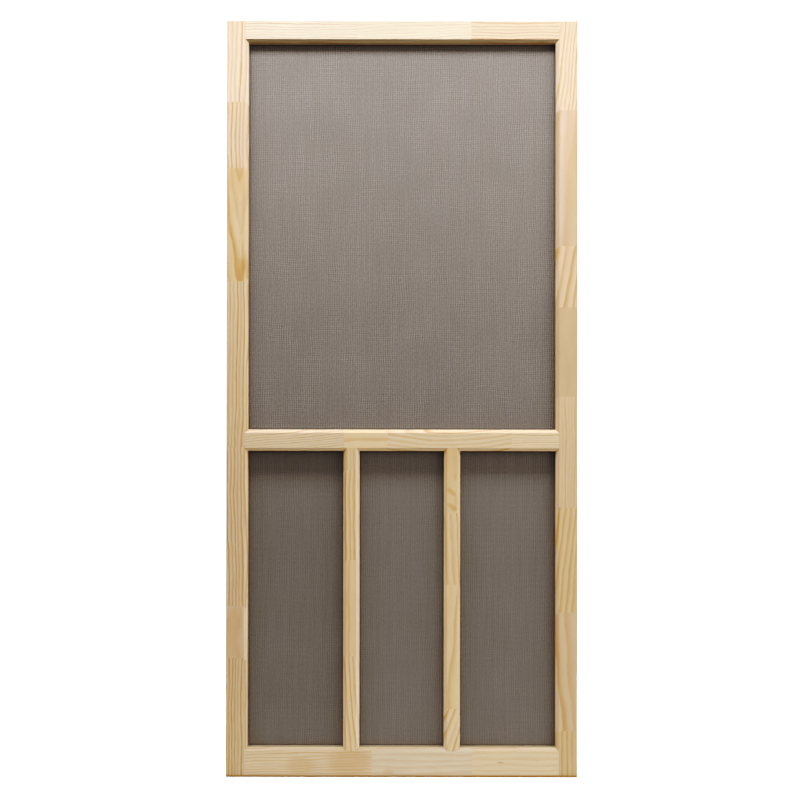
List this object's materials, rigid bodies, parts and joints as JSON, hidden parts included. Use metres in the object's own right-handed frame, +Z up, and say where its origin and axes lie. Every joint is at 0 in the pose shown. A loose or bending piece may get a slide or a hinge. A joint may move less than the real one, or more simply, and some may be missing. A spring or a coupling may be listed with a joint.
{
  "type": "wooden screen door",
  "caption": "Bare wooden screen door leaf: finger-jointed pine frame with bevelled edges, a tall upper screen above a row of narrow lower screens, screens held by mitred stops at the back.",
  "frame": {"origin": "on the hinge edge, halfway through the leaf's thickness and level with its bottom edge", "axes": "+X across the leaf from the hinge edge to the latch edge, +Y from the front face to the back face, +Z up"},
  "size_m": [0.914, 0.028, 1.97],
  "materials": {
    "pine": "bare planed",
    "screen": "woven, matt",
    "stop_pine": "bare planed"
  },
  "bodies": {
    "root": {"hinge_stile": "pine", "latch_stile": "pine", "top_rail": "pine", "mid_rail": "pine", "bottom_rail": "pine", "left_mullion": "pine", "right_mullion": "pine", "upper_screen": "screen", "lower_left_screen": "screen", "lower_middle_screen": "screen", "lower_right_screen": "screen", "upper_stop_bottom": "stop_pine", "upper_stop_right": "stop_pine", "upper_stop_top": "stop_pine", "upper_stop_left": "stop_pine", "lower_left_stop_bottom": "stop_pine", "lower_left_stop_right": "stop_pine", "lower_left_stop_top": "stop_pine", "lower_left_stop_left": "stop_pine", "lower_middle_stop_bottom": "stop_pine", "lower_middle_stop_right": "stop_pine", "lower_middle_stop_top": "stop_pine", "lower_middle_stop_left": "stop_pine", "lower_right_stop_bottom": "stop_pine", "lower_right_stop_right": "stop_pine", "lower_right_stop_top": "stop_pine", "lower_right_stop_left": "stop_pine"}
  },
  "joints": []
}
